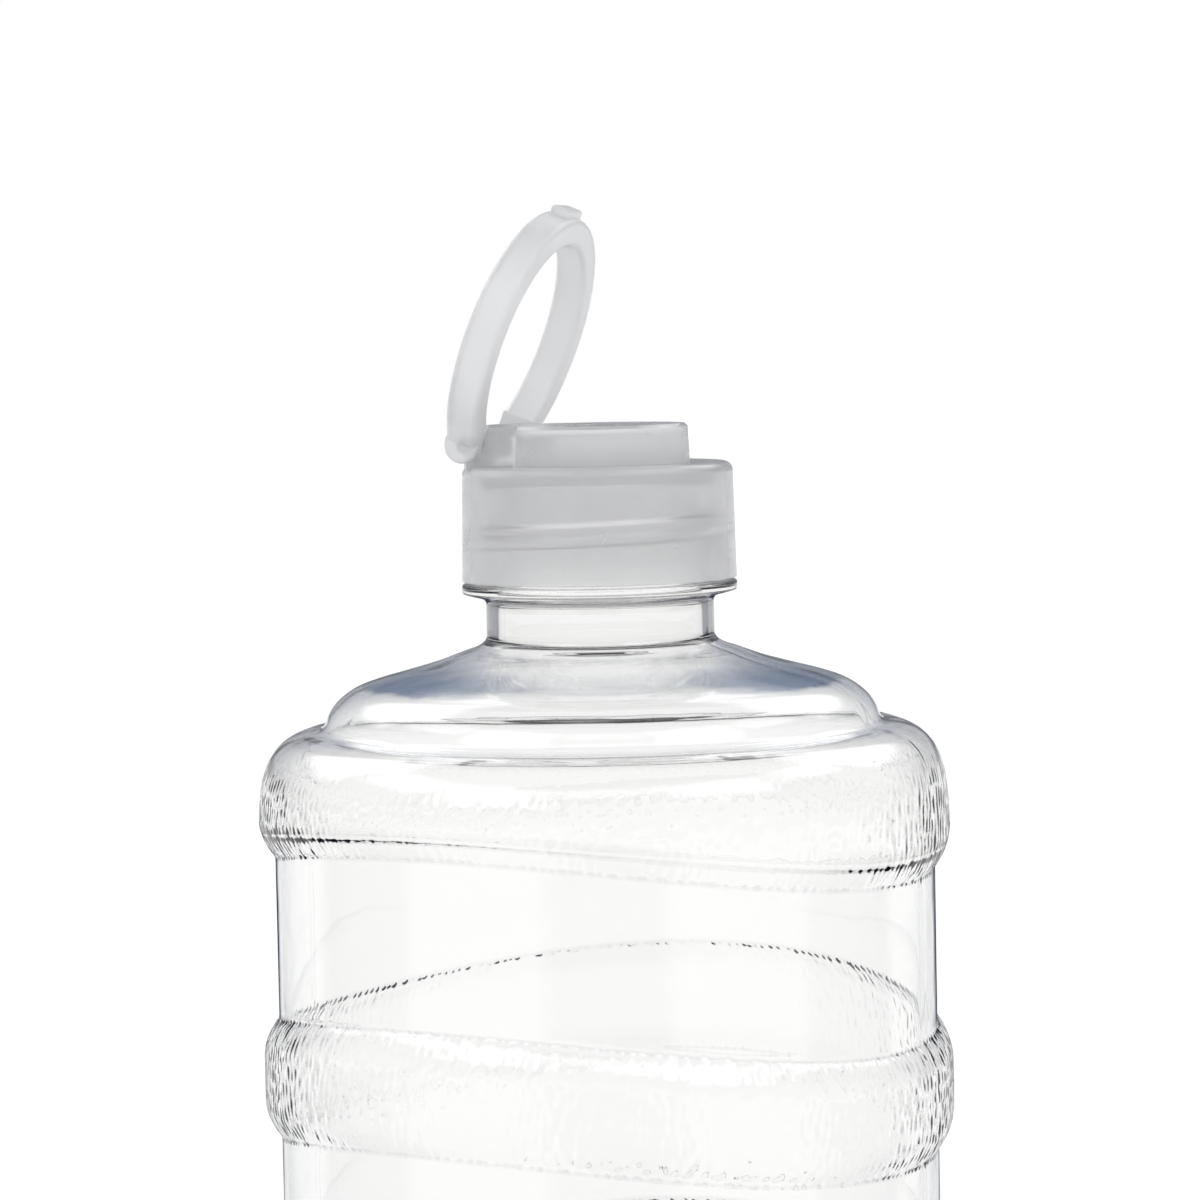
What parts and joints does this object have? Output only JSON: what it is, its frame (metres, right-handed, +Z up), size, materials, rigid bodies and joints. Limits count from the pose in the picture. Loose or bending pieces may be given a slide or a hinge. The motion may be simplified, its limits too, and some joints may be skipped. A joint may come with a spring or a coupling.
{
  "type": "large water jug",
  "caption": "Clear drinking-water jug with wavy grip bands, a round frosted screw cap and a carry ring that folds down around the cap's collar.",
  "frame": {"origin": "centre of the foot, on the plane that the jug stands on", "axes": "+Z up along the jug's axis; +X from the carry ring's hinge towards the front of the cap"},
  "size_m": [0.133, 0.133, 0.287],
  "materials": {
    "clear_bottle": "clear, glossy blow-moulded copolyester",
    "frosted_cap": "frosted, milky polypropylene",
    "frosted_ring": "frosted, milky polypropylene",
    "seal": "soft translucent silicone"
  },
  "bodies": {
    "bottle": {"bottle": "clear_bottle"},
    "seal": {"cap_liner": "seal"},
    "cap": {"screw_cap": "frosted_cap"},
    "ring": {"carry_ring": "frosted_ring"}
  },
  "joints": [
    {"name": "cap_rise", "type": "slide", "parent": "bottle", "child": "seal", "axis": [0, 0, 1], "range_m": [0, 0.0251]},
    {"name": "cap_turn", "type": "hinge", "parent": "seal", "child": "cap", "pos_m": [0, 0, 0.2356], "axis": [0, 0, 1], "range_deg": [0, 1800]},
    {"name": "ring_fold", "type": "hinge", "parent": "cap", "child": "ring", "pos_m": [-0.0221, 0, 0.2417], "axis": [0, 1, 0], "range_deg": [-110, 69]}
  ],
  "couplings": [
    {"joint": "cap_rise", "follows": "cap_turn", "m_per_rad": 0.00079577}
  ]
}
